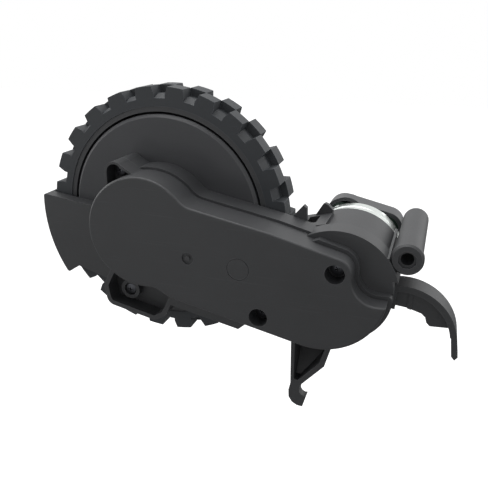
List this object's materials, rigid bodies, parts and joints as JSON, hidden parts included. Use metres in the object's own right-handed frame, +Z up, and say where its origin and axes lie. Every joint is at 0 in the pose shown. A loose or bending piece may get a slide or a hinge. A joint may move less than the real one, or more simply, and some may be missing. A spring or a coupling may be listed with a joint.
{
  "type": "robot vacuum wheel module",
  "caption": "Swinging drive wheel module for a robot vacuum: lugged rubber tyre on a gearbox arm, with a round motor, a pivot tube, a curved tab and a spring hook.",
  "frame": {"origin": "on the pivot tube's axis, in the plane of the tyre's front face", "axes": "+Y along the pivot and wheel axes, from the gearbox cover towards the motor's tail; +Z up; +X from the wheel towards the pivot"},
  "size_m": [0.1176, 0.0459, 0.0857],
  "materials": {
    "housing_plastic": "fine matte texture, charcoal",
    "drum_plastic": "smooth matte charcoal",
    "tyre_rubber": "matte, moulded lugs",
    "rim_plastic": "smooth matte charcoal",
    "can_steel": "plain zinc-plated",
    "cap_plastic": "smooth matte dark grey",
    "board_laminate": "green solder mask",
    "magnet_ferrite": "plain ferrite",
    "shaft_steel": "ground",
    "screw_steel": "black-oxide",
    "gear_acetal": "natural acetal",
    "pinion_brass": "machined",
    "bush_bronze": "sintered, oiled"
  },
  "bodies": {
    "gearbox": {"gearbox_base": "housing_plastic", "gearbox_cover": "housing_plastic", "drum_plate": "drum_plastic", "front_bush": "bush_bronze", "rear_bush": "bush_bronze", "gear_pin_1": "shaft_steel", "gear_pin_2": "shaft_steel", "gear_pin_3": "shaft_steel", "cover_screws": "screw_steel", "drum_screws": "screw_steel", "motor_screw": "screw_steel", "motor_can": "can_steel", "motor_end_bell": "can_steel", "sensor_board": "board_laminate", "motor_rear_cap": "cap_plastic"},
    "wheel": {"tyre": "tyre_rubber", "wheel_rim": "rim_plastic", "wheel_shaft": "shaft_steel", "shaft_clip": "shaft_steel", "wheel_washer": "shaft_steel", "wheel_screw": "screw_steel", "output_gear": "gear_acetal"},
    "gear_3": {"compound_gear_3": "gear_acetal"},
    "gear_2": {"compound_gear_2": "gear_acetal"},
    "gear_1": {"compound_gear_1": "gear_acetal"},
    "rotor": {"motor_shaft": "shaft_steel", "encoder_magnet": "magnet_ferrite", "motor_pinion": "pinion_brass"}
  },
  "joints": [
    {"name": "wheel_spin", "type": "hinge", "parent": "gearbox", "child": "wheel", "pos_m": [-0.0667, 0, 0.00222], "axis": [0, 1, 0], "continuous": true},
    {"name": "gear_3_spin", "type": "hinge", "parent": "gearbox", "child": "gear_3", "pos_m": [-0.05143, 0, -0.00549], "axis": [0, 1, 0], "continuous": true},
    {"name": "gear_2_spin", "type": "hinge", "parent": "gearbox", "child": "gear_2", "pos_m": [-0.03991, 0, -0.00475], "axis": [0, 1, 0], "continuous": true},
    {"name": "gear_1_spin", "type": "hinge", "parent": "gearbox", "child": "gear_1", "pos_m": [-0.02729, 0, -0.00768], "axis": [0, 1, 0], "continuous": true},
    {"name": "motor_spin", "type": "hinge", "parent": "gearbox", "child": "rotor", "pos_m": [-0.0165, 0, -0.0098], "axis": [0, 1, 0], "continuous": true}
  ],
  "couplings": [
    {"joint": "gear_3_spin", "follows": "wheel_spin", "ratio": -2.4545},
    {"joint": "gear_2_spin", "follows": "wheel_spin", "ratio": 4.9091},
    {"joint": "gear_1_spin", "follows": "wheel_spin", "ratio": -11.603},
    {"joint": "motor_spin", "follows": "wheel_spin", "ratio": 30.942}
  ]
}
